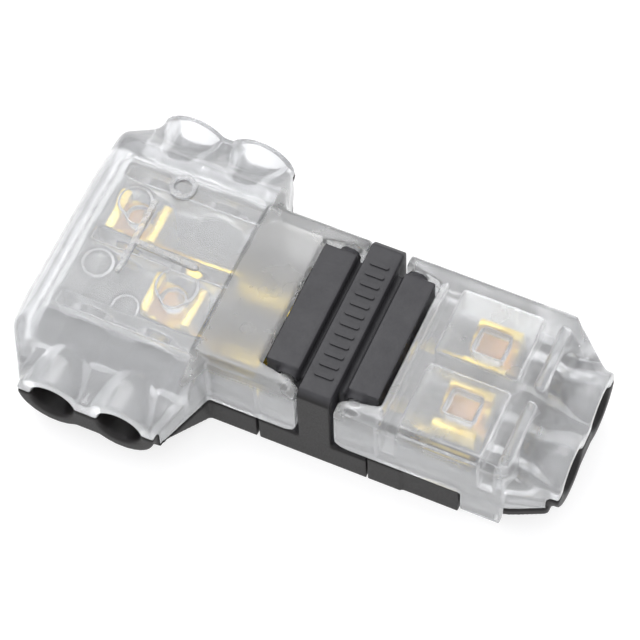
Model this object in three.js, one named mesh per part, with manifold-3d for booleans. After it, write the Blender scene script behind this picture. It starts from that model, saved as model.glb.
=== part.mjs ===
// T-shaped two-wire quick-splice connector.
// A black base carries two brass contacts, two clear covers hinge on a black collar,
// and the wires lie half in the base and half in the covers.
// Frame: millimetres, +Z up, origin under the middle of the collar on the underside,
// +X towards the stem end, the crossbar (tee head) lies at -X with its wires along Y.

import * as THREE from "three";
import { mergeVertices } from "three/addons/utils/BufferGeometryUtils.js";
import Module from "manifold-3d";

const wasm = await Module();
wasm.setup();

// ---- driving dimensions -------------------------------------------------

// wires
const WIRE_PITCH = 4.8;
const WIRE_HOLE_R = 1.5;
const WIRE_Z = 3.85;
const BARREL_R = 2.5;
const PORT_CHEEK = 0.1;
const BARREL_WEB_DROP = 1.95;
const BARREL_WEB_RISE = 1.4;

// tee head
const HEAD_WIRES_X = -14.0;
const HEAD_HALF_LENGTH = 11.1;
const HEAD_LEFT_X = -21.5;
const HEAD_TOP_Z = 7.75;
const HEAD_TOP_HALF_Y = 7.1;
const HEAD_SHOULDER_HALF_Y = 10.5;
const HEAD_SHOULDER_Z = 4.6;
const HEAD_STRAIGHT_HALF_Y = 5.2;
const HEAD_CAVITY_HALF_Y = 7.6;
const HEAD_END_R = 1.5;
const HEAD_CORNER_RUN = 0.8;
const HEAD_CORNER_R = 1.0;
const HEAD_LEAN = 1.6;
const HEAD_LEAN_Z = 4.25;
const NECK_START_X = -8.5;
const NECK_CORNER_X = -7.5;

// stem
const STEM_END_X = 16.3;
const STEM_TAPER_X = 13.0;
const STEM_SHOULDER_X = 15.7;
const STEM_SHOULDER_Z = 4.6;
const STEM_CORNER_R = 0.8;
const STEM_PORT_R = 0.3;
const BODY_HALF_Y = 6.25;
const COVER_DROP = 0.1;

// base
const TEE_LEDGE_Z = 2.35;
const STEM_LEDGE_Z = 2.75;
const HEAD_SLOPE_END_Y = 9.7;
const HEAD_PORT_BOTTOM_Z = 2.2;
const STEM_PORT_BOTTOM_Z = 2.0;
const STEM_SLOPE_RUN = 0.8;
const DECK_FLOOR_Z = 0.5;
const DECK_INSET = 0.25;
const NECK_DECK_GAP = 0.45;
const DECK_SIDE_GAP = 0.7;
const NECK_DECK_Z = 3.0;
const WIRE_STOP_X = 5.9;
const SIDE_RECESS_X = 6.0;
const SIDE_RECESS = 0.12;
const LATCH_POCKET = 0.85;

// collar
const COLLAR_LEFT_X = -4.05;
const COLLAR_RIGHT_X = 3.6;
const BLOCK_LEFT_X = -3.95;
const BLOCK_RIGHT_X = 3.85;
const BLOCK_HALF_Y = 4.65;
const COLLAR_TOP_Z = 8.05;
const RIDGE_HALF_X = 1.15;
const RIDGE_TOP_HALF_Y = 5.8;
const RIDGE_BEVEL_Z = 0.45;
const GROOVE_LEFT = 0.45;
const GROOVE_RIGHT = 0.6;
const GROOVE_DEPTH = 0.8;
const BOSS_R = 0.75;
const BOSS_REACH = 0.4;
const TUNNEL_Z = 2.65;
const SNAP_RIDGE = 0.3;
const SNAP_RIDGE_Z = 0.6;
const SNAP_RIDGE_HEIGHT = 0.6;
const SNAP_RIDGE_HALF_X = 2.2;

// covers
const COVER_WALL = 0.8;
const PLATE = 1.05;
const RIB = 0.9;
const DIVIDER = 0.8;
const RIB_START = 2.3;
const SHOULDER_R = 0.8;
const TOP_EDGE_R = 1.2;
const STEM_EDGE_R = 1.0;
const CAVITY_CORNER = 1.0;
const CAVITY_END_INSET = 0.3;
const CAVITY_LEAN = 1.5;
const CAVITY_R = 0.8;
const CAVITY_TOP_INSET = 0.7;
const CAVITY_SHOULDER_Z = 4.65;
const EDGE_BEVEL_Z = 0.5;
const EDGE_BEVEL_Y = 0.35;
const EAR_SIDE_GAP = 0.3;
const EAR_TIP_WALL = 0.55;
const EAR_GAP = 0.15;
const HINGE_DROP = 0.9;
const TEE_HINGE_X = -2.3;
const STEM_HINGE_X = 2.45;
const EAR_CORNER_R = 0.85;
const EAR_FOOT_R = 1.1;
const STEM_EAR_LEAN = 0.15;
const PIN_R = 0.5;
const PIN_REACH = 0.45;
const PUSHER_R = 0.75;
const PUSHER_DIP = 0.7;
const LATCH_X0 = 10.1;
const LATCH_X1 = 12.9;
const LATCH_BOTTOM_Z = 0.7;
const LATCH_LIP = 0.3;
const LATCH_THICK = 0.75;
const TEE_LATCH_HALF_Y = 2.5;

// contacts
const STRIP_THICK = 0.5;
const STRIP_WIDTH = 2.2;
const STRIP_Z = 0.85;
const TERMINAL_LENGTH = 3.0;
const TERMINAL_WIDTH = 3.6;
const TERMINAL_WALL = 0.45;
const TERMINAL_SIDE = 0.65;
const TERMINAL_END_Z = 5.2;
const TERMINAL_TOP_Z = 6.2;
const SLOT_WIDTH = 0.7;
const SLOT_BOTTOM_Z = 2.9;
const SLOT_MOUTH = 1.6;
const SLOT_FUNNEL = 0.9;
const SLOT_FOOT_R = 0.3;
const STEM_TERMINAL_X = 8.7;

// clearances
const GAP = 0.1;
const SEAT_GAP = 0.05;
const PIN_CLEARANCE = 0.06;
const SWING_CLEARANCE = 0.02;
const LAP = 0.2;
const CLEAR = 1.0;
const ROUND_STEPS = 32;

// ---- values that follow from the driving dimensions ---------------------

const FAR_WIRE_X = HEAD_WIRES_X - WIRE_PITCH / 2;
const NEAR_WIRE_X = HEAD_WIRES_X + WIRE_PITCH / 2;
const WIRE_Y = WIRE_PITCH / 2;
const HEAD_CRADLE_X0 = FAR_WIRE_X - BARREL_R;
const HEAD_CRADLE_X1 = NEAR_WIRE_X + BARREL_R;
const STEM_CRADLE_Y = WIRE_Y + BARREL_R;
const TEE_EDGE_Z = TEE_LEDGE_Z + GAP;
const STEM_EDGE_Z = STEM_LEDGE_Z + GAP;
const CAVITY_HALF_Y = BODY_HALF_Y - COVER_WALL;
const DECK_HALF_Y = CAVITY_HALF_Y - DECK_SIDE_GAP;
const COVER_TOP_Z = COLLAR_TOP_Z - COVER_DROP;
const HINGE_Z = COLLAR_TOP_Z - HINGE_DROP;
const TUNNEL_HALF_Y = BLOCK_HALF_Y - GAP;
const EAR_ROOT_Y = BLOCK_HALF_Y + EAR_SIDE_GAP;
const EAR_TIP_Y = BODY_HALF_Y - EAR_TIP_WALL;
const PIN_INNER_Y = BLOCK_HALF_Y - PIN_REACH;
const TERMINAL_Z = STRIP_Z + STRIP_THICK + SEAT_GAP;
const PLATE_Z = HEAD_TOP_Z - PLATE;
// the block's upper corner, seen from a hinge, must pass the end of the cover's plate
const swingEnd = (hingeX, blockX) => Math.hypot(blockX - hingeX, COLLAR_TOP_Z - HINGE_Z) + SWING_CLEARANCE;
const TEE_PLATE_X = TEE_HINGE_X - swingEnd(TEE_HINGE_X, BLOCK_LEFT_X);
const STEM_PLATE_X = STEM_HINGE_X + swingEnd(STEM_HINGE_X, BLOCK_RIGHT_X);

// ---- shape helpers ------------------------------------------------------

function solid(geometry) {
  const bare = geometry.clone();
  bare.deleteAttribute("normal");
  bare.deleteAttribute("uv");
  const merged = mergeVertices(bare, 1e-5);
  const mesh = new wasm.Mesh({
    numProp: 3,
    vertProperties: new Float32Array(merged.attributes.position.array),
    triVerts: new Uint32Array(merged.index.array),
  });
  return new wasm.Manifold(mesh);
}

function geometryOf(body) {
  const mesh = body.getMesh();
  const geometry = new THREE.BufferGeometry();
  geometry.setAttribute("position", new THREE.BufferAttribute(mesh.vertProperties, 3));
  geometry.setIndex(new THREE.BufferAttribute(mesh.triVerts, 1));
  geometry.computeVertexNormals();
  return geometry;
}

// outline points are [u, v] or [u, v, corner radius]
function outline(points) {
  const shape = new THREE.Shape();
  const at = (i) => new THREE.Vector2(...points[(i + points.length) % points.length].slice(0, 2));
  points.forEach(([u, v, radius = 0], i) => {
    const corner = new THREE.Vector2(u, v);
    const enter = corner.clone().add(at(i - 1).sub(corner).setLength(radius));
    const leave = corner.clone().add(at(i + 1).sub(corner).setLength(radius));
    if (i === 0) shape.moveTo(enter.x, enter.y);
    else shape.lineTo(enter.x, enter.y);
    if (radius > 0) shape.quadraticCurveTo(u, v, leave.x, leave.y);
  });
  shape.closePath();
  return shape;
}

const extrude = (shape, depth) =>
  new THREE.ExtrudeGeometry(shape, { depth, bevelEnabled: false, curveSegments: 6 });

// outline in X and Y, raised from z0 to z1
function prismZ(points, z0, z1) {
  return solid(extrude(outline(points), z1 - z0).translate(0, 0, z0));
}

// outline in Y and Z, drawn out from x0 to x1
function prismX(points, x0, x1) {
  const turn = new THREE.Matrix4().makeBasis(
    new THREE.Vector3(0, 1, 0),
    new THREE.Vector3(0, 0, 1),
    new THREE.Vector3(1, 0, 0),
  );
  return solid(extrude(outline(points), x1 - x0).applyMatrix4(turn).translate(x0, 0, 0));
}

// outline in X and Z, drawn out from y0 to y1
function prismY(points, y0, y1) {
  const turn = new THREE.Matrix4().makeBasis(
    new THREE.Vector3(1, 0, 0),
    new THREE.Vector3(0, 0, 1),
    new THREE.Vector3(0, -1, 0),
  );
  return solid(extrude(outline(points), y1 - y0).applyMatrix4(turn).translate(0, y1, 0));
}

const box = (x0, x1, y0, y1, z0, z1) =>
  solid(new THREE.BoxGeometry(x1 - x0, y1 - y0, z1 - z0)
    .translate((x0 + x1) / 2, (y0 + y1) / 2, (z0 + z1) / 2));

const rodX = (y, z, radius, x0, x1) =>
  solid(new THREE.CylinderGeometry(radius, radius, x1 - x0, ROUND_STEPS)
    .rotateZ(Math.PI / 2).translate((x0 + x1) / 2, y, z));

const rodY = (x, z, radius, y0, y1) =>
  solid(new THREE.CylinderGeometry(radius, radius, y1 - y0, ROUND_STEPS)
    .translate(x, (y0 + y1) / 2, z));

const rodZ = (x, y, radius, z0, z1) =>
  solid(new THREE.CylinderGeometry(radius, radius, z1 - z0, ROUND_STEPS)
    .rotateX(Math.PI / 2).translate(x, y, (z0 + z1) / 2));

const union = (...bodies) => bodies.reduce((whole, body) => whole.add(body));
const without = (body, ...cuts) => cuts.reduce((whole, cut) => whole.subtract(cut), body);

// a copy of a body on each side of the X-Z plane
const bothSides = (body) => union(body, body.mirror([0, 1, 0]));

// an outline given for +Y, closed by its mirror image on -Y (points run from -X to +X)
const symmetricY = (half) => [
  ...half.map(([x, y, ...rest]) => [x, -y, ...rest]),
  ...half.map(([x, y, ...rest]) => [x, y, ...rest]).reverse(),
];

// ---- shared outlines ----------------------------------------------------

const headPlan = symmetricY([
  [HEAD_LEFT_X, HEAD_STRAIGHT_HALF_Y, HEAD_END_R],
  [HEAD_LEFT_X + HEAD_CORNER_RUN, HEAD_CAVITY_HALF_Y, HEAD_CORNER_R],
  [HEAD_CRADLE_X0 - PORT_CHEEK, HEAD_SHOULDER_HALF_Y],
  [HEAD_CRADLE_X1 + PORT_CHEEK, HEAD_SHOULDER_HALF_Y],
  [NECK_CORNER_X, BODY_HALF_Y],
]);

const stemPlan = (x0) => symmetricY([
  [x0, BODY_HALF_Y],
  [STEM_TAPER_X, BODY_HALF_Y, STEM_CORNER_R],
  [STEM_SHOULDER_X, STEM_CRADLE_Y + PORT_CHEEK, STEM_PORT_R],
]);

// ---- base housing -------------------------------------------------------

function headWires(radius, y0, y1) {
  return union(rodY(FAR_WIRE_X, WIRE_Z, radius, y0, y1), rodY(NEAR_WIRE_X, WIRE_Z, radius, y0, y1));
}

function stemWires(radius, x0, x1) {
  return union(rodX(-WIRE_Y, WIRE_Z, radius, x0, x1), rodX(WIRE_Y, WIRE_Z, radius, x0, x1));
}

function headBase() {
  // seen from the end, the underside rises towards the ports
  const envelope = prismX([
    [-HEAD_SHOULDER_HALF_Y, WIRE_Z],
    [-HEAD_SHOULDER_HALF_Y, HEAD_PORT_BOTTOM_Z],
    [-HEAD_SLOPE_END_Y, HEAD_PORT_BOTTOM_Z],
    [-BODY_HALF_Y, 0],
    [BODY_HALF_Y, 0],
    [HEAD_SLOPE_END_Y, HEAD_PORT_BOTTOM_Z],
    [HEAD_SHOULDER_HALF_Y, HEAD_PORT_BOTTOM_Z],
    [HEAD_SHOULDER_HALF_Y, WIRE_Z],
  ], HEAD_LEFT_X, NECK_CORNER_X);
  const plate = prismZ(headPlan, 0, TEE_LEDGE_Z).intersect(envelope);
  const inset = COVER_WALL + DECK_INSET;
  const deck = prismZ(symmetricY([
    [HEAD_LEFT_X + inset, HEAD_STRAIGHT_HALF_Y - DECK_INSET],
    [HEAD_LEFT_X + inset + CAVITY_CORNER, HEAD_CAVITY_HALF_Y - DECK_INSET],
    [NECK_START_X - DECK_INSET, HEAD_CAVITY_HALF_Y - DECK_INSET],
  ]), DECK_FLOOR_Z, WIRE_Z).intersect(envelope);
  const cradleBlock = box(
    HEAD_CRADLE_X0, HEAD_CRADLE_X1, -HEAD_SHOULDER_HALF_Y, HEAD_SHOULDER_HALF_Y, 0, WIRE_Z)
    .intersect(envelope);
  const barrels = headWires(BARREL_R, -HEAD_HALF_LENGTH, HEAD_HALF_LENGTH);
  const web = box(
    FAR_WIRE_X, NEAR_WIRE_X, -HEAD_HALF_LENGTH, HEAD_HALF_LENGTH, WIRE_Z - BARREL_WEB_DROP, WIRE_Z);
  const upper = box(
    HEAD_LEFT_X, 0, -HEAD_HALF_LENGTH - CLEAR, HEAD_HALF_LENGTH + CLEAR, WIRE_Z, COVER_TOP_Z);
  return union(plate, deck, cradleBlock, barrels, web).subtract(upper);
}

function stemBase() {
  const startX = COLLAR_RIGHT_X + GAP;
  // seen from the side, the underside rises towards the ports
  const envelope = prismY([
    [startX, 0],
    [STEM_TAPER_X - STEM_SLOPE_RUN, 0],
    [STEM_TAPER_X, STEM_PORT_BOTTOM_Z],
    [STEM_SHOULDER_X, STEM_PORT_BOTTOM_Z],
    [STEM_SHOULDER_X, WIRE_Z],
    [startX, WIRE_Z],
  ], -BODY_HALF_Y, BODY_HALF_Y);
  const plate = prismZ(stemPlan(startX), 0, STEM_LEDGE_Z).intersect(envelope);
  const deck = box(
    BLOCK_RIGHT_X + NECK_DECK_GAP, STEM_TAPER_X - STEM_SLOPE_RUN,
    -DECK_HALF_Y, DECK_HALF_Y, DECK_FLOOR_Z, WIRE_Z);
  const cradleBlock = box(
    STEM_TAPER_X - CLEAR, STEM_SHOULDER_X, -STEM_CRADLE_Y, STEM_CRADLE_Y, 0, WIRE_Z)
    .intersect(envelope);
  const barrels = stemWires(BARREL_R, STEM_TAPER_X, STEM_END_X);
  const web = box(STEM_TAPER_X, STEM_END_X, -WIRE_Y, WIRE_Y, WIRE_Z - BARREL_WEB_DROP, WIRE_Z);
  const upper = box(
    STEM_TAPER_X - CLEAR, STEM_END_X + CLEAR, -BODY_HALF_Y, BODY_HALF_Y, WIRE_Z, COVER_TOP_Z);
  const recess = (x0, x1, depth) => bothSides(box(
    x0, x1, BODY_HALF_Y - depth, BODY_HALF_Y + CLEAR, -CLEAR, STEM_LEDGE_Z + CLEAR));
  return without(
    union(plate, deck, cradleBlock, barrels, web), upper,
    recess(SIDE_RECESS_X, LATCH_X0, SIDE_RECESS),
    recess(LATCH_X0 - GAP, LATCH_X1 + GAP, LATCH_POCKET));
}

function neckBase() {
  const plate = box(NECK_CORNER_X - CLEAR, COLLAR_LEFT_X - GAP, -BODY_HALF_Y, BODY_HALF_Y, 0, TEE_LEDGE_Z);
  const deck = box(
    NECK_START_X - CLEAR, BLOCK_LEFT_X - NECK_DECK_GAP, -DECK_HALF_Y, DECK_HALF_Y, DECK_FLOOR_Z, NECK_DECK_Z);
  const tongue = box(
    COLLAR_LEFT_X - CLEAR, COLLAR_RIGHT_X + CLEAR,
    -TUNNEL_HALF_Y + GAP, TUNNEL_HALF_Y - GAP, 0, TUNNEL_Z - SEAT_GAP);
  return union(plate, deck, tongue);
}

function snapRidge(grow) {
  const inner = TUNNEL_HALF_Y - SNAP_RIDGE - grow;
  return prismX([
    [TUNNEL_HALF_Y + LAP, SNAP_RIDGE_Z - grow],
    [inner, SNAP_RIDGE_Z - grow],
    [inner, SNAP_RIDGE_Z + SNAP_RIDGE_HEIGHT / 2 + grow],
    [TUNNEL_HALF_Y + LAP, SNAP_RIDGE_Z + SNAP_RIDGE_HEIGHT + grow],
  ], -SNAP_RIDGE_HALF_X - grow, SNAP_RIDGE_HALF_X + grow);
}

function terminalPocket(x, y, alongX) {
  const dx = (alongX ? TERMINAL_LENGTH : TERMINAL_WIDTH) / 2 + GAP;
  const dy = (alongX ? TERMINAL_WIDTH : TERMINAL_LENGTH) / 2 + GAP;
  return box(x - dx, x + dx, y - dy, y + dy, TERMINAL_Z - SEAT_GAP, COVER_TOP_Z);
}

function stripGroove(x0, y) {
  const half = STRIP_WIDTH / 2 + GAP;
  const x1 = STEM_TERMINAL_X + TERMINAL_LENGTH / 2 + GAP;
  return box(x0 - TERMINAL_WIDTH / 2 - GAP, x1, y - half, y + half, STRIP_Z - SEAT_GAP, COVER_TOP_Z);
}

function baseHousing() {
  const body = union(headBase(), neckBase(), stemBase());
  return without(
    body,
    headWires(WIRE_HOLE_R, -HEAD_HALF_LENGTH - CLEAR, HEAD_HALF_LENGTH + CLEAR),
    stemWires(WIRE_HOLE_R, WIRE_STOP_X, STEM_END_X + CLEAR),
    stripGroove(FAR_WIRE_X, WIRE_Y),
    stripGroove(NEAR_WIRE_X, -WIRE_Y),
    terminalPocket(FAR_WIRE_X, WIRE_Y, false),
    terminalPocket(NEAR_WIRE_X, -WIRE_Y, false),
    terminalPocket(STEM_TERMINAL_X, WIRE_Y, true),
    terminalPocket(STEM_TERMINAL_X, -WIRE_Y, true),
    bothSides(snapRidge(SEAT_GAP)),
    teeLatchNotch(),
  );
}

// ---- hinge collar -------------------------------------------------------

function hingeCollar() {
  const bevelled = [
    [-BODY_HALF_Y, 0],
    [BODY_HALF_Y, 0],
    [BODY_HALF_Y, COLLAR_TOP_Z - RIDGE_BEVEL_Z],
    [RIDGE_TOP_HALF_Y, COLLAR_TOP_Z],
    [-RIDGE_TOP_HALF_Y, COLLAR_TOP_Z],
    [-BODY_HALF_Y, COLLAR_TOP_Z - RIDGE_BEVEL_Z],
  ];
  const ridge = prismX(bevelled, -RIDGE_HALF_X, RIDGE_HALF_X);
  const blocks = union(
    box(BLOCK_LEFT_X, BLOCK_RIGHT_X, -BLOCK_HALF_Y, BLOCK_HALF_Y, STEM_EDGE_Z, COLLAR_TOP_Z),
    box(BLOCK_LEFT_X, COLLAR_RIGHT_X, -BLOCK_HALF_Y, BLOCK_HALF_Y, TEE_LEDGE_Z - LAP, STEM_EDGE_Z + LAP),
  );
  const band = box(COLLAR_LEFT_X, COLLAR_RIGHT_X, -BODY_HALF_Y, BODY_HALF_Y, 0, TEE_LEDGE_Z);
  const tunnel = box(
    COLLAR_LEFT_X - CLEAR, COLLAR_RIGHT_X + CLEAR, -TUNNEL_HALF_Y, TUNNEL_HALF_Y, -CLEAR, TUNNEL_Z);
  const groove = (x0, x1) =>
    box(x0, x1, -BODY_HALF_Y, BODY_HALF_Y, COLLAR_TOP_Z - GROOVE_DEPTH, COLLAR_TOP_Z + CLEAR);
  const bossEnd = BLOCK_HALF_Y + BOSS_REACH;
  const boss = (x) => bothSides(rodY(x, HINGE_Z, BOSS_R, BLOCK_HALF_Y - LAP, bossEnd));
  const socket = (x) =>
    bothSides(rodY(x, HINGE_Z, PIN_R + PIN_CLEARANCE, PIN_INNER_Y - GAP, bossEnd + LAP));
  const body = without(
    union(ridge, blocks, band, boss(TEE_HINGE_X), boss(STEM_HINGE_X)),
    tunnel,
    groove(-RIDGE_HALF_X - GROOVE_LEFT, -RIDGE_HALF_X),
    groove(RIDGE_HALF_X, RIDGE_HALF_X + GROOVE_RIGHT),
    socket(TEE_HINGE_X),
    socket(STEM_HINGE_X),
  );
  return body.add(bothSides(snapRidge(0)));
}

// ---- covers -------------------------------------------------------------

// cross-section of a cover's walls and top, in Y and Z
const coverSection = (z0) => symmetricY([
  [z0, BODY_HALF_Y],
  [COVER_TOP_Z - EDGE_BEVEL_Z, BODY_HALF_Y],
  [COVER_TOP_Z, BODY_HALF_Y - EDGE_BEVEL_Y],
]).map(([z, y]) => [y, z]);

// ear beside the collar's block: it narrows towards the ridge and carries the pivot pin
function ear(hingeX, rootX, tipX, tipLean, edgeZ) {
  const profile = [
    [rootX, edgeZ],
    [tipX, edgeZ, EAR_FOOT_R],
    [tipX + tipLean, COVER_TOP_Z, EAR_CORNER_R],
    [rootX, COVER_TOP_Z],
  ];
  const side = Math.sign(rootX - tipX);
  const plan = [
    [rootX + side, EAR_ROOT_Y],
    [rootX, EAR_ROOT_Y],
    [tipX - side, EAR_TIP_Y],
    [tipX - side, BODY_HALF_Y],
    [rootX + side, BODY_HALF_Y],
  ];
  const wall = prismY(profile, EAR_ROOT_Y, BODY_HALF_Y)
    .intersect(prismZ(plan, edgeZ, COVER_TOP_Z))
    .intersect(prismX(coverSection(edgeZ), Math.min(rootX, tipX), Math.max(rootX, tipX) + CLEAR));
  const pin = rodY(hingeX, HINGE_Z, PIN_R, PIN_INNER_Y, EAR_TIP_Y + GAP);
  return bothSides(wall.add(pin));
}

function pusher(x, y, plateZ) {
  return rodZ(x, y, PUSHER_R, TERMINAL_TOP_Z - PUSHER_DIP, plateZ + LAP);
}

function teeLatch() {
  return box(
    HEAD_LEFT_X, HEAD_LEFT_X + LATCH_THICK,
    -TEE_LATCH_HALF_Y, TEE_LATCH_HALF_Y, LATCH_BOTTOM_Z, TEE_EDGE_Z + LAP);
}

// open towards -X and towards the underside, so the cover's tab can swing out
function teeLatchNotch() {
  return box(
    HEAD_LEFT_X - CLEAR, HEAD_LEFT_X + LATCH_THICK + GAP,
    -TEE_LATCH_HALF_Y - GAP, TEE_LATCH_HALF_Y + GAP, -CLEAR, TEE_EDGE_Z);
}

function teeCover() {
  const headEnd = symmetricY([
    [TEE_EDGE_Z, HEAD_SHOULDER_HALF_Y],
    [HEAD_SHOULDER_Z, HEAD_SHOULDER_HALF_Y, SHOULDER_R],
    [HEAD_TOP_Z, HEAD_TOP_HALF_Y, TOP_EDGE_R],
  ]).map(([z, y, r = 0]) => [y, z, r]);
  const leftWall = [
    [HEAD_LEFT_X, TEE_EDGE_Z],
    [NECK_CORNER_X, TEE_EDGE_Z],
    [NECK_CORNER_X, HEAD_TOP_Z],
    [HEAD_LEFT_X + HEAD_LEAN, HEAD_TOP_Z, TOP_EDGE_R],
    [HEAD_LEFT_X, HEAD_LEAN_Z, HEAD_CORNER_R],
  ];
  const head = prismZ(headPlan, TEE_EDGE_Z, HEAD_TOP_Z)
    .intersect(prismX(headEnd, HEAD_LEFT_X, NECK_CORNER_X))
    .intersect(prismY(leftWall, -HEAD_HALF_LENGTH, HEAD_HALF_LENGTH));
  const neck = prismX(coverSection(TEE_EDGE_Z), NECK_START_X, TEE_PLATE_X);
  const barrels = headWires(BARREL_R, -HEAD_HALF_LENGTH, HEAD_HALF_LENGTH)
    .add(box(FAR_WIRE_X, NEAR_WIRE_X, -HEAD_HALF_LENGTH, HEAD_HALF_LENGTH, WIRE_Z, WIRE_Z + BARREL_WEB_RISE))
    .intersect(box(HEAD_LEFT_X, 0, -HEAD_HALF_LENGTH, HEAD_HALF_LENGTH, WIRE_Z + GAP, COVER_TOP_Z));

  const cavityLeft = HEAD_LEFT_X + COVER_WALL;
  const cavityPlan = prismZ(symmetricY([
    [cavityLeft, HEAD_STRAIGHT_HALF_Y - CAVITY_END_INSET],
    [cavityLeft + CAVITY_CORNER, HEAD_CAVITY_HALF_Y],
    [NECK_START_X, HEAD_CAVITY_HALF_Y],
  ]), 0, PLATE_Z);
  const cavitySide = prismY([
    [cavityLeft, 0],
    [NECK_START_X, 0],
    [NECK_START_X, PLATE_Z],
    [cavityLeft + CAVITY_LEAN, PLATE_Z, CAVITY_R],
    [cavityLeft, HEAD_LEAN_Z, CAVITY_R],
  ], -HEAD_HALF_LENGTH, HEAD_HALF_LENGTH);
  const cavityEnd = prismX(symmetricY([
    [0, HEAD_CAVITY_HALF_Y],
    [CAVITY_SHOULDER_Z, HEAD_CAVITY_HALF_Y],
    [PLATE_Z, HEAD_TOP_HALF_Y - CAVITY_TOP_INSET, CAVITY_R],
  ]).map(([z, y, r = 0]) => [y, z, r]), HEAD_LEFT_X, 0);
  const headCavity = cavityPlan.intersect(cavitySide).intersect(cavityEnd);
  const neckCavity = box(
    NECK_START_X - LAP, BLOCK_LEFT_X, -CAVITY_HALF_Y, CAVITY_HALF_Y, 0, COVER_TOP_Z - PLATE);
  const cradleRoom = bothSides(box(
    HEAD_CRADLE_X0 - GAP, HEAD_CRADLE_X1 + GAP,
    HEAD_CAVITY_HALF_Y - LAP, HEAD_HALF_LENGTH + CLEAR, 0, WIRE_Z + GAP));

  const shell = without(union(head, neck, barrels), headCavity, neckCavity, cradleRoom);
  const rib = (y) => box(
    cavityLeft + RIB_START, NECK_START_X + LAP, y - RIB / 2, y + RIB / 2, WIRE_Z + GAP, PLATE_Z + LAP);
  const ribs = union(rib(-HEAD_STRAIGHT_HALF_Y), rib(0), rib(HEAD_STRAIGHT_HALF_Y));
  return without(
    union(
      shell, ribs, pusher(FAR_WIRE_X, WIRE_Y, PLATE_Z), pusher(NEAR_WIRE_X, -WIRE_Y, PLATE_Z), teeLatch(),
      ear(TEE_HINGE_X, TEE_PLATE_X, -RIDGE_HALF_X - EAR_GAP, 0, TEE_EDGE_Z)),
    headWires(WIRE_HOLE_R, -HEAD_HALF_LENGTH - CLEAR, HEAD_HALF_LENGTH + CLEAR),
  );
}

function stemCover() {
  const sideProfile = [
    [STEM_PLATE_X, STEM_EDGE_Z],
    [STEM_SHOULDER_X, STEM_EDGE_Z],
    [STEM_SHOULDER_X, STEM_SHOULDER_Z, SHOULDER_R],
    [STEM_TAPER_X, COVER_TOP_Z, STEM_EDGE_R],
    [STEM_PLATE_X, COVER_TOP_Z],
  ];
  const outer = prismZ(stemPlan(STEM_PLATE_X), STEM_EDGE_Z, COVER_TOP_Z)
    .intersect(prismY(sideProfile, -BODY_HALF_Y, BODY_HALF_Y))
    .intersect(prismX(coverSection(STEM_EDGE_Z), STEM_PLATE_X, STEM_END_X));
  const barrels = stemWires(BARREL_R, STEM_TAPER_X - CLEAR, STEM_END_X)
    .add(box(STEM_TAPER_X - CLEAR, STEM_END_X, -WIRE_Y, WIRE_Y, WIRE_Z, WIRE_Z + BARREL_WEB_RISE))
    .intersect(box(0, STEM_END_X, -BODY_HALF_Y, BODY_HALF_Y, WIRE_Z + GAP, COVER_TOP_Z));
  const cavityTop = COVER_TOP_Z - PLATE;
  const cavity = box(
    BLOCK_RIGHT_X, STEM_TAPER_X - LAP, -CAVITY_HALF_Y, CAVITY_HALF_Y, 0, cavityTop);
  const cradleRoom = box(
    STEM_TAPER_X - CLEAR, STEM_END_X + CLEAR,
    -STEM_CRADLE_Y - GAP, STEM_CRADLE_Y + GAP, 0, WIRE_Z + GAP);
  const latch = bothSides(prismX([
    [BODY_HALF_Y - LATCH_THICK, LATCH_BOTTOM_Z + LATCH_LIP],
    [BODY_HALF_Y - LATCH_THICK + LATCH_LIP, LATCH_BOTTOM_Z],
    [BODY_HALF_Y, LATCH_BOTTOM_Z],
    [BODY_HALF_Y, STEM_EDGE_Z + LAP],
    [BODY_HALF_Y - LATCH_THICK, STEM_EDGE_Z + LAP],
  ], LATCH_X0, LATCH_X1));
  const rib = (x) => box(
    x - RIB / 2, x + RIB / 2, -CAVITY_HALF_Y - LAP, CAVITY_HALF_Y + LAP, WIRE_Z + GAP, cavityTop + LAP);
  const divider = box(
    WIRE_STOP_X - RIB, STEM_TAPER_X, -DIVIDER / 2, DIVIDER / 2, WIRE_Z + GAP, cavityTop + LAP);
  return without(
    union(
      outer.subtract(cavity).add(barrels).subtract(cradleRoom),
      rib(WIRE_STOP_X - RIB), rib(STEM_TERMINAL_X + TERMINAL_LENGTH), divider, latch,
      pusher(STEM_TERMINAL_X, WIRE_Y, cavityTop), pusher(STEM_TERMINAL_X, -WIRE_Y, cavityTop),
      ear(STEM_HINGE_X, STEM_PLATE_X, RIDGE_HALF_X + EAR_GAP, STEM_EAR_LEAN, STEM_EDGE_Z)),
    stemWires(WIRE_HOLE_R, WIRE_STOP_X, STEM_END_X + CLEAR),
  );
}

// ---- contacts -----------------------------------------------------------

function contactStrip(headX, y) {
  const x0 = headX - TERMINAL_WIDTH / 2;
  const x1 = STEM_TERMINAL_X + TERMINAL_LENGTH / 2;
  return box(x0, x1, y - STRIP_WIDTH / 2, y + STRIP_WIDTH / 2, STRIP_Z, STRIP_Z + STRIP_THICK);
}

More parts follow.
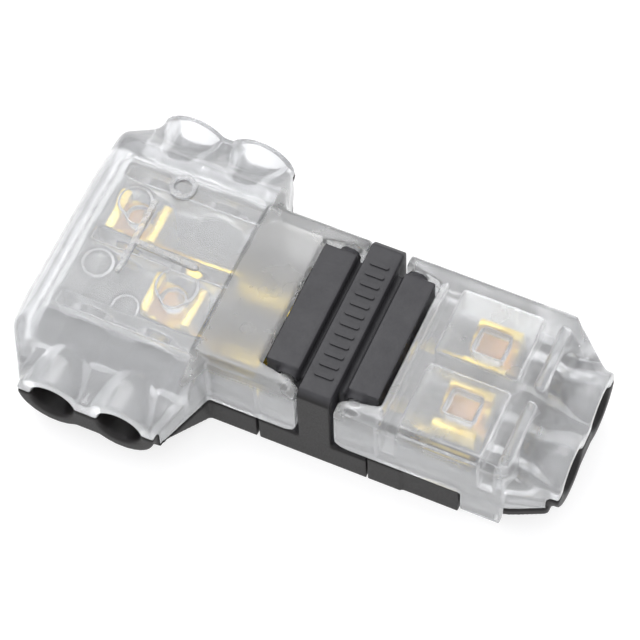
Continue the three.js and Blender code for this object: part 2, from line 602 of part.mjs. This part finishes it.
// open-topped box of folded brass (wire along X): two tall sides, and two lower end walls
// slotted to cut into the wire
function slottedTerminal() {
  const l = TERMINAL_LENGTH / 2;
  const w = TERMINAL_WIDTH / 2;
  const inner = w - TERMINAL_SIDE;
  const room = union(
    box(
      -l + TERMINAL_WALL, l - TERMINAL_WALL, -inner, inner,
      TERMINAL_Z + TERMINAL_WALL, TERMINAL_TOP_Z + CLEAR),
    box(-l - CLEAR, l + CLEAR, -inner, inner, TERMINAL_END_Z, TERMINAL_TOP_Z + CLEAR));
  const slot = prismX([
    [-SLOT_WIDTH / 2, SLOT_BOTTOM_Z, SLOT_FOOT_R],
    [SLOT_WIDTH / 2, SLOT_BOTTOM_Z, SLOT_FOOT_R],
    [SLOT_WIDTH / 2, TERMINAL_END_Z - SLOT_FUNNEL],
    [SLOT_MOUTH / 2, TERMINAL_END_Z + LAP],
    [-SLOT_MOUTH / 2, TERMINAL_END_Z + LAP],
    [-SLOT_WIDTH / 2, TERMINAL_END_Z - SLOT_FUNNEL],
  ], -l - CLEAR, l + CLEAR);
  return box(-l, l, -w, w, TERMINAL_Z, TERMINAL_TOP_Z).subtract(room).subtract(slot);
}

// ---- assembly -----------------------------------------------------------

const blackNylon = () => new THREE.MeshStandardMaterial({ color: 0x47454a, roughness: 0.55, metalness: 0 });
const clearPlastic = () => new THREE.MeshStandardMaterial({
  color: 0xe6e8ea, roughness: 0.3, metalness: 0, transparent: true, opacity: 0.4,
});
const brass = () => new THREE.MeshStandardMaterial({ color: 0xe3c45e, roughness: 0.3, metalness: 1 });

const connector = new THREE.Group();

function place(name, body, material, x = 0, y = 0, turn = 0) {
  const mesh = new THREE.Mesh(geometryOf(body), material);
  mesh.name = name;
  mesh.position.set(x, y, 0);
  mesh.rotation.z = turn;
  connector.add(mesh);
}

place("base_housing", baseHousing(), blackNylon());
place("hinge_collar", hingeCollar(), blackNylon());
place("tee_cover", teeCover(), clearPlastic());
place("stem_cover", stemCover(), clearPlastic());
place("contact_strip_a", contactStrip(FAR_WIRE_X, WIRE_Y), brass());
place("contact_strip_b", contactStrip(NEAR_WIRE_X, -WIRE_Y), brass());
place("tee_terminal_a", slottedTerminal(), brass(), FAR_WIRE_X, WIRE_Y, Math.PI / 2);
place("tee_terminal_b", slottedTerminal(), brass(), NEAR_WIRE_X, -WIRE_Y, Math.PI / 2);
place("stem_terminal_a", slottedTerminal(), brass(), STEM_TERMINAL_X, WIRE_Y);
place("stem_terminal_b", slottedTerminal(), brass(), STEM_TERMINAL_X, -WIRE_Y);

export default connector;
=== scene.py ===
import math

import bmesh
import bpy
from mathutils import Matrix, Vector


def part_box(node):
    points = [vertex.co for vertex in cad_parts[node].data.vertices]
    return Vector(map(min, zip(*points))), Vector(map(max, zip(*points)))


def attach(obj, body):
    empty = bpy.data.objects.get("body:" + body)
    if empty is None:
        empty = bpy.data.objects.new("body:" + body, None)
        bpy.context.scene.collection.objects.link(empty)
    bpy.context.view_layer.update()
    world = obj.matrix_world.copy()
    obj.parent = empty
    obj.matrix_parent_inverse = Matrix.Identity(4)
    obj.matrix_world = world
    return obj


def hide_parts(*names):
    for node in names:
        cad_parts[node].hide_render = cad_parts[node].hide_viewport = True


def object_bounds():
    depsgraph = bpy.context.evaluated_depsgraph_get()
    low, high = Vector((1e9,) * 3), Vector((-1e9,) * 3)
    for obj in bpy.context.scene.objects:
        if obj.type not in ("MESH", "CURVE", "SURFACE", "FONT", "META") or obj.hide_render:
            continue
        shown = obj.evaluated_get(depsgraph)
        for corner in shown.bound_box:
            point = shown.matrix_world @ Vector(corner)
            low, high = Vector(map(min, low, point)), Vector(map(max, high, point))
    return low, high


# T-shaped two-wire quick-splice connector: moulded shells, brass contacts, stage and camera.
# Shapes are worked in millimetres and turned into metres when a piece is finished.

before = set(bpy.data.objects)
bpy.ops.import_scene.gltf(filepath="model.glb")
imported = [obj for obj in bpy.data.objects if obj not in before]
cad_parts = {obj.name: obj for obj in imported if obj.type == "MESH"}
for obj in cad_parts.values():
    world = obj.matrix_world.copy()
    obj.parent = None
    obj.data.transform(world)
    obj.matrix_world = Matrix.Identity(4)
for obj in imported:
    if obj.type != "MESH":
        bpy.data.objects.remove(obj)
cad_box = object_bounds()

MM = 0.001

# ---- sizes, in millimetres ----------------------------------------------

WIRE_HOLE_R = 1.5
WIRE_Z = 3.85
FUNNEL_R = 1.62
FUNNEL_DEPTH = 0.3
HEAD_FUNNEL_PROUD = 0.006
STEM_FUNNEL_PROUD = 0.01
HEAD_STEP = 0.2
PLATE_HOLD = 0.6
POST_CLEARANCE = 0.08
PRESSER_HALF_X = 0.95
PRESSER_HALF_Y = 0.9
PRESSER_DIP = 0.65
DIAGRAM_HEIGHT = 0.22
DIAGRAM_SINK = 0.15
DIAGRAM_WIDTH = 0.62
DIAGRAM_DRAFT = 0.14
RING_R = 0.92
GRIP_COUNT = 12
GRIP_PITCH = 0.8
GRIP_HEIGHT = 0.12
GRIP_SINK = 0.2
GRIP_WIDTH = 0.34
GRIP_HALF_LENGTH = 0.5

SHELL_VOXEL = 0.12
COVER_SMOOTHING = 5
NYLON_SMOOTHING = 4
BLEND_STEPS = 120
BRASS_BEVEL = 0.07
SHARP_ANGLE = math.radians(38)

# where the barrels and the left edge melt into the slopes: each pair is 0 up to the first value
# and 1 from the second
BLEND_Z = (4.05, 4.6)
BLEND_FROM_END = (0.4, 0.9)
BLEND_FROM_WIRE = (1.7, 2.1)
HEAD_BLEND_Y = (7.3, 8.0)
STEM_BLEND_X = (13.0, 13.6)
LEFT_EDGE_RUN = 3.0
LEFT_EDGE_FADE = 0.8
LEFT_EDGE_Z = (4.3, 5.0)

# where a material changes, from one value to the other
# the first two bound the painted shade on the black nylon
NYLON_STEM_SHADE_X = (6.0, 6.1)
NYLON_FLANK_SHADE_Y = (5.9, 6.2)
NECK_START_X = (-8.6, -8.3)
NECK_END_X = (2.0, 2.1)
DIAGRAM_END_X = (-10.0, -9.9)
PORT_END_Y = (6.4, 7.1)
WALL_TOP_Z = (6.1, 6.7)
PLATE_Z = (6.5, 6.9)
SKIN_Z = (6.95, 7.3)
DIAGRAM_START = (0.03, 0.06)

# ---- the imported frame, in millimetres -----------------------------------


def node_box(node):
    low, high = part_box(node)
    return low / MM, high / MM


def middle(node):
    low, high = node_box(node)
    return (low + high) / 2


HEAD_TERMINALS = ("tee_terminal_a", "tee_terminal_b")
STEM_TERMINALS = ("stem_terminal_a", "stem_terminal_b")
tee_low, tee_high = node_box("tee_cover")
stem_high = node_box("stem_cover")[1]
collar_high = node_box("hinge_collar")[1]
head_wire_xs = [middle(node).x for node in HEAD_TERMINALS]
stem_wire_ys = [middle(node).y for node in STEM_TERMINALS]
head_top_z = tee_high.z - HEAD_STEP

# ---- mesh tools ---------------------------------------------------------


def new_object(name, mesh):
    piece = bpy.data.objects.new(name, mesh)
    bpy.context.scene.collection.objects.link(piece)
    return piece


def from_bmesh(name, shape):
    mesh = bpy.data.meshes.new(name)
    bmesh.ops.recalc_face_normals(shape, faces=shape.faces)
    shape.to_mesh(mesh)
    shape.free()
    return new_object(name, mesh)


def copy_of(node, name):
    """A copy of a CAD node in millimetres, with the vertices that its faces share merged."""
    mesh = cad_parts[node].data.copy()
    mesh.materials.clear()
    mesh.transform(Matrix.Scale(1 / MM, 4))
    shape = bmesh.new()
    shape.from_mesh(mesh)
    bmesh.ops.remove_doubles(shape, verts=shape.verts, dist=0.0005)
    shape.to_mesh(mesh)
    shape.free()
    for layer in list(mesh.uv_layers):
        mesh.uv_layers.remove(layer)
    return new_object(name, mesh)


def apply_modifiers(piece):
    bpy.context.view_layer.update()
    graph = bpy.context.evaluated_depsgraph_get()
    mesh = bpy.data.meshes.new_from_object(piece.evaluated_get(graph))
    piece.modifiers.clear()
    piece.data = mesh


def combine(piece, tools, operation):
    """Joins tools to a piece, or cuts them from it, and removes the tools."""
    for tool in tools:
        step = piece.modifiers.new("combine", "BOOLEAN")
        step.operation = operation
        step.solver = "MANIFOLD"
        step.object = tool
    apply_modifiers(piece)
    for tool in tools:
        bpy.data.objects.remove(tool)


def cone(start, end, start_radius, end_radius, steps=48):
    """A closed cone or rod between two points."""
    start, end = Vector(start), Vector(end)
    shape = bmesh.new()
    bmesh.ops.create_cone(
        shape, cap_ends=True, segments=steps, radius1=start_radius, radius2=end_radius,
        depth=(end - start).length)
    turn = Vector((0, 0, 1)).rotation_difference(end - start).to_matrix().to_4x4()
    place = Matrix.Translation((start + end) / 2) @ turn
    bmesh.ops.transform(shape, matrix=place, verts=shape.verts)
    return from_bmesh("tool", shape)


def bar(start, end, width, low, high, draft=0.0):
    """A raised bar with round ends, from low to high in Z, narrower at the top by the draft."""
    start, end = Vector(start), Vector(end)
    heading = math.atan2((end - start).y, (end - start).x)
    half_turn = 8
    shape = bmesh.new()
    loops = []
    for z, radius in ((low, width / 2), (high, width / 2 - draft)):
        loop = []
        for centre, first in ((end, heading - math.pi / 2), (start, heading + math.pi / 2)):
            for i in range(half_turn + 1):
                angle = first + math.pi * i / half_turn
                loop.append(shape.verts.new(
                    (centre.x + radius * math.cos(angle), centre.y + radius * math.sin(angle), z)))
        loops.append(loop)
    lower, upper = loops
    shape.faces.new(lower)
    shape.faces.new(upper)
    for i in range(len(lower)):
        j = (i + 1) % len(lower)
        shape.faces.new((lower[i], lower[j], upper[j], upper[i]))
    return from_bmesh("tool", shape)


def block(low, high):
    """A closed box between two corners."""
    low, high = Vector(low), Vector(high)
    shape = bmesh.new()
    bmesh.ops.create_cube(shape, size=1)
    place = Matrix.Translation((low + high) / 2) @ Matrix.Diagonal((*(high - low), 1))
    bmesh.ops.transform(shape, matrix=place, verts=shape.verts)
    return from_bmesh("tool", shape)


def ring(x, y, radius, width, low, high):
    """A raised ring round a vertical axis."""
    outer = cone((x, y, low), (x, y, high), radius, radius)
    inner = cone((x, y, low - 1), (x, y, high + 1), radius - width, radius - width)
    combine(outer, [inner], "DIFFERENCE")
    return outer


def mould(piece, smoothing):
    """Rounds every edge a little, as an injection mould does."""
    remesh = piece.modifiers.new("skin", "REMESH")
    remesh.mode = "VOXEL"
    remesh.voxel_size = SHELL_VOXEL
    smooth = piece.modifiers.new("round", "SMOOTH")
    smooth.factor = 0.5
    smooth.iterations = smoothing
    apply_modifiers(piece)


def ramp_up(value, start, end):
    """0 up to start, 1 from end on, and a smooth rise between them."""
    t = min(max((value - start) / (end - start), 0), 1)
    return t * t * (3 - 2 * t)


def blend(piece, amount, iterations):
    """Melts neighbouring shapes into each other where amount(x, y, z) is above zero."""
    group = piece.vertex_groups.new(name="blend")
    for vertex in piece.data.vertices:
        weight = amount(*vertex.co)
        if weight > 0.01:
            group.add([vertex.index], weight, "REPLACE")
    smooth = piece.modifiers.new("blend", "SMOOTH")
    smooth.factor = 0.5
    smooth.iterations = iterations
    smooth.vertex_group = "blend"
    apply_modifiers(piece)
    piece.vertex_groups.clear()


def finish_piece(piece, body, node, material):
    """Turns a piece into metres and gives it its material, and its place in the frame."""
    piece.data.transform(Matrix.Scale(MM, 4))
    piece.data.materials.clear()
    piece.data.materials.append(material)
    for face in piece.data.polygons:
        face.use_smooth = True
    piece.data.set_sharp_from_angle(angle=SHARP_ANGLE)
    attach(piece, body)
    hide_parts(node)


# ---- materials ----------------------------------------------------------


def new_material(name):
    material = bpy.data.materials.new(name)
    material.use_nodes = True
    nodes = material.node_tree.nodes
    return material, nodes, material.node_tree.links, nodes["Principled BSDF"]


def noise(nodes, links, scale, detail=3.0, stretch=(1, 1, 1)):
    """Noise that is fixed to the piece; scale is in features per metre."""
    place = nodes.new("ShaderNodeTexCoord")
    mapping = nodes.new("ShaderNodeMapping")
    mapping.inputs["Scale"].default_value = stretch
    texture = nodes.new("ShaderNodeTexNoise")
    texture.inputs["Scale"].default_value = scale
    texture.inputs["Detail"].default_value = detail
    links.new(place.outputs["Object"], mapping.inputs["Vector"])
    links.new(mapping.outputs["Vector"], texture.inputs["Vector"])
    return texture.outputs["Fac"]


def spread(nodes, links, value, low, high):
    """Maps a noise value onto the range from low to high."""
    scale = nodes.new("ShaderNodeMapRange")
    scale.inputs["From Min"].default_value = 0.3
    scale.inputs["From Max"].default_value = 0.7
    scale.inputs["To Min"].default_value = low
    scale.inputs["To Max"].default_value = high
    links.new(value, scale.inputs["Value"])
    return scale.outputs["Result"]


def tint(nodes, links, value, dark, light):
    """Turns a noise value into a colour from dark to light."""
    ramp = nodes.new("ShaderNodeValToRGB")
    ramp.color_ramp.elements[0].position = 0.3
    ramp.color_ramp.elements[0].color = (*dark, 1)
    ramp.color_ramp.elements[1].position = 0.7
    ramp.color_ramp.elements[1].color = (*light, 1)
    links.new(value, ramp.inputs["Fac"])
    return ramp.outputs["Color"]


def bump(nodes, links, value, strength, distance, after=None):
    """Relief from a value, on top of the relief that comes after it if there is one."""
    relief = nodes.new("ShaderNodeBump")
    relief.inputs["Strength"].default_value = strength
    relief.inputs["Distance"].default_value = distance
    links.new(value, relief.inputs["Height"])
    if after is not None:
        links.new(after, relief.inputs["Normal"])
    return relief.outputs["Normal"]


def position(nodes, links, axis, absolute=False):
    """The place on an axis of the piece, in millimetres, or its distance from the middle."""
    place = nodes.new("ShaderNodeTexCoord")
    split = nodes.new("ShaderNodeSeparateXYZ")
    size = nodes.new("ShaderNodeMath")
    size.operation = "MULTIPLY"
    size.inputs[1].default_value = 1 / MM
    links.new(place.outputs["Object"], split.inputs["Vector"])
    links.new(split.outputs[axis], size.inputs[0])
    if not absolute:
        return size.outputs["Value"]
    distance = nodes.new("ShaderNodeMath")
    distance.operation = "ABSOLUTE"
    links.new(size.outputs["Value"], distance.inputs[0])
    return distance.outputs["Value"]


def between(nodes, links, value, start, end, low, high):
    """Goes from low to high as a value passes from start to end."""
    scale = nodes.new("ShaderNodeMapRange")
    scale.inputs["From Min"].default_value = start
    scale.inputs["From Max"].default_value = end
    scale.inputs["To Min"].default_value = low
    scale.inputs["To Max"].default_value = high
    links.new(value, scale.inputs["Value"])
    return scale.outputs["Result"]


def choose(nodes, links, operation, first, second):
    """The smaller, the larger, the sum or the product of two values."""
    pick = nodes.new("ShaderNodeMath")
    pick.operation = operation
    links.new(first, pick.inputs[0])
    links.new(second, pick.inputs[1])
    return pick.outputs["Value"]


def mix(nodes, links, amount, first, second):
    """A colour between a linked colour and a plain one."""
    blended = nodes.new("ShaderNodeMix")
    blended.data_type = "RGBA"
    links.new(amount, blended.inputs["Factor"])
    links.new(first, blended.inputs["A"])
    blended.inputs["B"].default_value = (*second, 1)
    return blended.outputs["Result"]


def black_nylon():
    material, nodes, links, shader = new_material("black_nylon")
    mottle = noise(nodes, links, 700)
    grain = noise(nodes, links, 11000, 2.0)
    shader.inputs["Specular IOR Level"].default_value = 0.32
    # painted shade: the nylon is darkened along the flanks, round the ports and over the stem's end
    stem = between(nodes, links, position(nodes, links, "X"), *NYLON_STEM_SHADE_X, 0, 1)
    flanks = between(nodes, links, position(nodes, links, "Y", True), *NYLON_FLANK_SHADE_Y, 0, 1)
    dark = choose(nodes, links, "MAXIMUM", stem, flanks)
    grey = tint(nodes, links, mottle, (0.031, 0.0305, 0.034), (0.042, 0.0415, 0.045))
    links.new(mix(nodes, links, dark, grey, (0.0085, 0.0075, 0.0075)), shader.inputs["Base Color"])
    links.new(spread(nodes, links, grain, 0.40, 0.54), shader.inputs["Roughness"])
    links.new(bump(nodes, links, grain, 0.08, 0.00002), shader.inputs["Normal"])
    return material


def clear_polycarbonate():
    material, nodes, links, shader = new_material("clear_polycarbonate")
    shader.inputs["IOR"].default_value = 1.52
    along = position(nodes, links, "X")
    outward = position(nodes, links, "Y", True)
    height = position(nodes, links, "Z")
    flow = noise(nodes, links, 420)
    frost = noise(nodes, links, 5200, 2.0)

    def pick(operation, first, second):
        return choose(nodes, links, operation, first, second)

    def step(value, place, low, high):
        return between(nodes, links, value, *place, low, high)

    # clear top plates, hazier walls and port ends, and a frosted diagram standing on the head
    top = [head_top_z + z for z in DIAGRAM_START]
    diagram = pick("MULTIPLY", step(height, top, 0, 1), step(along, DIAGRAM_END_X, 1, 0))
    plates = pick("MINIMUM", step(height, WALL_TOP_Z, 0.77, 1.0),
                      step(along, NECK_START_X, 0.86, 0.92))
    clarity = pick("MINIMUM", plates, step(outward, PORT_END_Y, 0.86, 0.77))
    links.new(pick("MINIMUM", clarity, step(diagram, (0, 1), 1, 0.6)),
              shader.inputs["Transmission Weight"])

    # the neck's plate is greyer and etched more deeply than the head's, and the stem's a little
    past_head = pick("MULTIPLY", step(along, NECK_START_X, 0, 1), step(height, PLATE_Z, 0, 1))
    neck = pick("MULTIPLY", past_head, step(along, NECK_END_X, 1, 0.3))
    clear = tint(nodes, links, flow, (0.91, 0.92, 0.93), (0.97, 0.98, 0.99))
    links.new(mix(nodes, links, neck, clear, (0.80, 0.80, 0.79)), shader.inputs["Base Color"])
    skin = pick("ADD", step(height, SKIN_Z, 0.17, 0.11), step(neck, (0, 1), 0, 0.16))
    links.new(pick("ADD", skin, spread(nodes, links, flow, -0.03, 0.09)),
              shader.inputs["Roughness"])

    # a slow wave, a fine grain, and a stipple on the diagram
    wave = bump(nodes, links, flow, 0.45, 0.0002)
    fine = bump(nodes, links, frost, 0.12, 0.00003, wave)
    stipple = nodes.new("ShaderNodeBump")
    stipple.inputs["Distance"].default_value = 0.0003
    links.new(diagram, stipple.inputs["Strength"])
    links.new(noise(nodes, links, 4200, 1.0), stipple.inputs["Height"])
    links.new(fine, stipple.inputs["Normal"])
    links.new(stipple.outputs["Normal"], shader.inputs["Normal"])
    return material


def contact_brass():
    material, nodes, links, shader = new_material("contact_brass")
    shader.inputs["Metallic"].default_value = 1.0
    patina = noise(nodes, links, 900)
    brushed = noise(nodes, links, 2500, 4.0, (1, 8, 8))
    links.new(tint(nodes, links, patina, (0.92, 0.63, 0.07), (0.98, 0.76, 0.14)),
              shader.inputs["Base Color"])
    links.new(spread(nodes, links, brushed, 0.20, 0.36), shader.inputs["Roughness"])
    links.new(bump(nodes, links, brushed, 0.1, 0.00002), shader.inputs["Normal"])
    return material


def pale_floor():
    material, nodes, links, shader = new_material("pale_floor")
    shader.inputs["Roughness"].default_value = 0.8
    # a light table: it glows, so the part throws hardly any shadow on it
    shader.inputs["Emission Color"].default_value = (1, 1, 1, 1)
    shader.inputs["Emission Strength"].default_value = 0.72
    shade = noise(nodes, links, 25)
    links.new(tint(nodes, links, shade, (0.34, 0.34, 0.34), (0.36, 0.36, 0.36)),
              shader.inputs["Base Color"])
    return material


nylon = black_nylon()
polycarbonate = clear_polycarbonate()
brass = contact_brass()

# ---- pieces -------------------------------------------------------------


def port_funnels():
    """Flared mouths of the six wire ports, cut alike from the base and the covers."""
    funnels = []
    for x in head_wire_xs:
        for face, outward in ((tee_low.y, -1), (tee_high.y, 1)):
            funnels.append(cone((x, face + outward * HEAD_FUNNEL_PROUD, WIRE_Z),
                                (x, face - outward * FUNNEL_DEPTH, WIRE_Z),
                                FUNNEL_R, WIRE_HOLE_R))
    for y in stem_wire_ys:
        funnels.append(cone((stem_high.x + STEM_FUNNEL_PROUD, y, WIRE_Z),
                            (stem_high.x - FUNNEL_DEPTH, y, WIRE_Z),
                            FUNNEL_R, WIRE_HOLE_R))
    return funnels


def head_posts():
    """Round posts under the head's plate that press the wires down, as X, Y and radius."""
    far, near = head_wire_xs
    low = node_box("tee_terminal_a")[1].z + POST_CLEARANCE
    high = tee_high.z - PLATE_HOLD
    posts = [
        (far - 0.6, 3.2, 1.1),
        (far - 0.8, -2.0, 1.0),
        (near - 0.1, -1.6, 1.35),
        ((far + near) / 2 - 0.1, -4.3, 0.85),
    ]
    return [cone((x, y, low), (x, y, high), radius, radius) for x, y, radius in posts]


def stem_pressers():
    """Square blocks under the stem's plate, between the contacts' side walls."""
    blocks = []
    for node in STEM_TERMINALS:
        centre = middle(node)
        low = node_box(node)[1].z - PRESSER_DIP
        high = stem_high.z - PLATE_HOLD
        blocks.append(block((centre.x - PRESSER_HALF_X, centre.y - PRESSER_HALF_Y, low),
                            (centre.x + PRESSER_HALF_X, centre.y + PRESSER_HALF_Y, high)))
    return blocks


def head_diagram():
    """A plain raised T on the head, for the through wire and its branch, with a ring beside it."""
    low, high = head_top_z - DIAGRAM_SINK, head_top_z + DIAGRAM_HEIGHT
    x = sum(head_wire_xs) / 2
    through = ((x - 1.45, -2.4), (x - 1.5, 3.2))
    branch = ((x - 1.45, 0), (x + 3.05, -0.3))
    return [
        bar(*through, DIAGRAM_WIDTH, low, high, DIAGRAM_DRAFT),
        bar(*branch, DIAGRAM_WIDTH, low, high, DIAGRAM_DRAFT),
        ring(x - 0.3, 4.95, RING_R, DIAGRAM_WIDTH / 2, low, high),
    ]


def port_blend(across, from_end, z, wires):
    """Where the barrels of a port melt into the slope behind them."""
    from_wire = min(math.hypot(across - wire, z - WIRE_Z) for wire in wires)
    return (ramp_up(z, *BLEND_Z) * ramp_up(from_end, *BLEND_FROM_END)
            * ramp_up(from_wire, *BLEND_FROM_WIRE))


def tee_blend(x, y, z):
    ports = port_blend(x, tee_high.y - abs(y), z, head_wire_xs) * ramp_up(abs(y), *HEAD_BLEND_Y)
    left_edge = ramp_up(tee_low.x + LEFT_EDGE_RUN - x, 0, LEFT_EDGE_FADE) * ramp_up(z, *LEFT_EDGE_Z)
    return max(ports, left_edge)


def stem_blend(x, y, z):
    return port_blend(y, stem_high.x - x, z, stem_wire_ys) * ramp_up(x, *STEM_BLEND_X)


def make_tee_cover():
    piece = copy_of("tee_cover", "tee_cover_shell")
    combine(piece, head_posts(), "UNION")
    combine(piece, port_funnels(), "DIFFERENCE")
    mould(piece, COVER_SMOOTHING)
    blend(piece, tee_blend, BLEND_STEPS)
    combine(piece, head_diagram(), "UNION")
    finish_piece(piece, "tee_cover", "tee_cover", polycarbonate)


def make_stem_cover():
    piece = copy_of("stem_cover", "stem_cover_shell")
    combine(piece, stem_pressers(), "UNION")
    combine(piece, port_funnels(), "DIFFERENCE")
    mould(piece, COVER_SMOOTHING)
    blend(piece, stem_blend, BLEND_STEPS)
    finish_piece(piece, "stem_cover", "stem_cover", polycarbonate)


def make_base():
    piece = copy_of("base_housing", "base_shell")
    combine(piece, port_funnels(), "DIFFERENCE")
    mould(piece, NYLON_SMOOTHING)
    finish_piece(piece, "base", "base_housing", nylon)


def make_collar():
    piece = copy_of("hinge_collar", "collar_shell")
    mould(piece, NYLON_SMOOTHING)
    low, high = collar_high.z - GRIP_SINK, collar_high.z + GRIP_HEIGHT
    first = -GRIP_PITCH * (GRIP_COUNT - 1) / 2
    grips = []
    for i in range(GRIP_COUNT):
        y = first + GRIP_PITCH * i
        grips.append(bar((-GRIP_HALF_LENGTH, y), (GRIP_HALF_LENGTH, y), GRIP_WIDTH, low, high))
    combine(piece, grips, "UNION")
    finish_piece(piece, "base", "hinge_collar", nylon)


def make_contacts():
    for node in (*HEAD_TERMINALS, *STEM_TERMINALS, "contact_strip_a", "contact_strip_b"):
        piece = copy_of(node, node + "_stamping")
        bevel = piece.modifiers.new("edges", "BEVEL")
        bevel.width = BRASS_BEVEL
        bevel.segments = 3
        bevel.limit_method = "ANGLE"
        apply_modifiers(piece)
        finish_piece(piece, "base", node, brass)


make_tee_cover()
make_stem_cover()
make_base()
make_collar()
make_contacts()

# ---- stage, light and camera, in metres ---------------------------------

FLOOR_HALF = 0.6
FLOOR_GAP = 0.00005
CARD_TOP = (0.12, 0.42)
CARD_LIGHT = 0.30
SKY_LIGHT = 1.18

CAMERA_AZIMUTH = math.radians(25.69)
CAMERA_ELEVATION = math.radians(61.27)
CAMERA_ROLL = math.radians(2.13)
CAMERA_DISTANCE = 0.1943
CAMERA_LENS = 165.35
AIM_RIGHT = -0.00226
AIM_UP = 0.00402


def make_floor():
    shape = bmesh.new()
    bmesh.ops.create_grid(shape, x_segments=1, y_segments=1, size=FLOOR_HALF)
    floor = from_bmesh("floor", shape)
    floor.location.z = cad_box[0][2] - FLOOR_GAP
    floor.data.materials.append(pale_floor())


def make_light(name, place, size, power):
    light = bpy.data.lights.new(name, "AREA")
    light.shape = "DISK"
    light.size = size
    light.energy = power
    lamp = bpy.data.objects.new(name, light)
    lamp.location = place
    lamp.rotation_euler = (-Vector(place)).to_track_quat("-Z", "Y").to_euler()
    bpy.context.scene.collection.objects.link(lamp)


def make_world():
    world = bpy.data.worlds.new("studio")
    world.use_nodes = True
    nodes, links = world.node_tree.nodes, world.node_tree.links
    # dark cards stand round the light table, and they line the clear edges; Z is the sine of the
    # elevation
    view = nodes.new("ShaderNodeTexCoord")
    split = nodes.new("ShaderNodeSeparateXYZ")
    links.new(view.outputs["Generated"], split.inputs["Vector"])
    links.new(between(nodes, links, split.outputs["Z"], *CARD_TOP, CARD_LIGHT, SKY_LIGHT),
              nodes["Background"].inputs["Strength"])
    nodes["Background"].inputs["Color"].default_value = (0.98, 0.98, 1.0, 1)
    bpy.context.scene.world = world


def make_camera():
    toward = Vector((
        math.sin(CAMERA_AZIMUTH) * math.cos(CAMERA_ELEVATION),
        -math.cos(CAMERA_AZIMUTH) * math.cos(CAMERA_ELEVATION),
        math.sin(CAMERA_ELEVATION)))
    level = Vector((math.cos(CAMERA_AZIMUTH), math.sin(CAMERA_AZIMUTH), 0))
    upward = toward.cross(level)
    right = level * math.cos(CAMERA_ROLL) - upward * math.sin(CAMERA_ROLL)
    up = level * math.sin(CAMERA_ROLL) + upward * math.cos(CAMERA_ROLL)
    place = toward * CAMERA_DISTANCE
    back = (place - right * AIM_RIGHT - up * AIM_UP).normalized()
    side = up.cross(back).normalized()
    over = back.cross(side)
    camera = bpy.data.objects.new("camera", bpy.data.cameras.new("camera"))
    camera.data.lens = CAMERA_LENS
    camera.data.sensor_width = 36
    camera.data.clip_start = 0.01
    camera.data.clip_end = 5
    turn = Matrix((side, over, back)).transposed().to_4x4()
    camera.matrix_world = Matrix.Translation(place) @ turn
    bpy.context.scene.collection.objects.link(camera)
    bpy.context.scene.camera = camera


make_floor()
make_world()
make_light("key", (-0.12, 0.10, 0.30), 0.22, 0.42)
make_light("front", (0.10, -0.25, 0.10), 0.20, 0.08)
make_camera()
bpy.context.scene.view_settings.view_transform = "Standard"
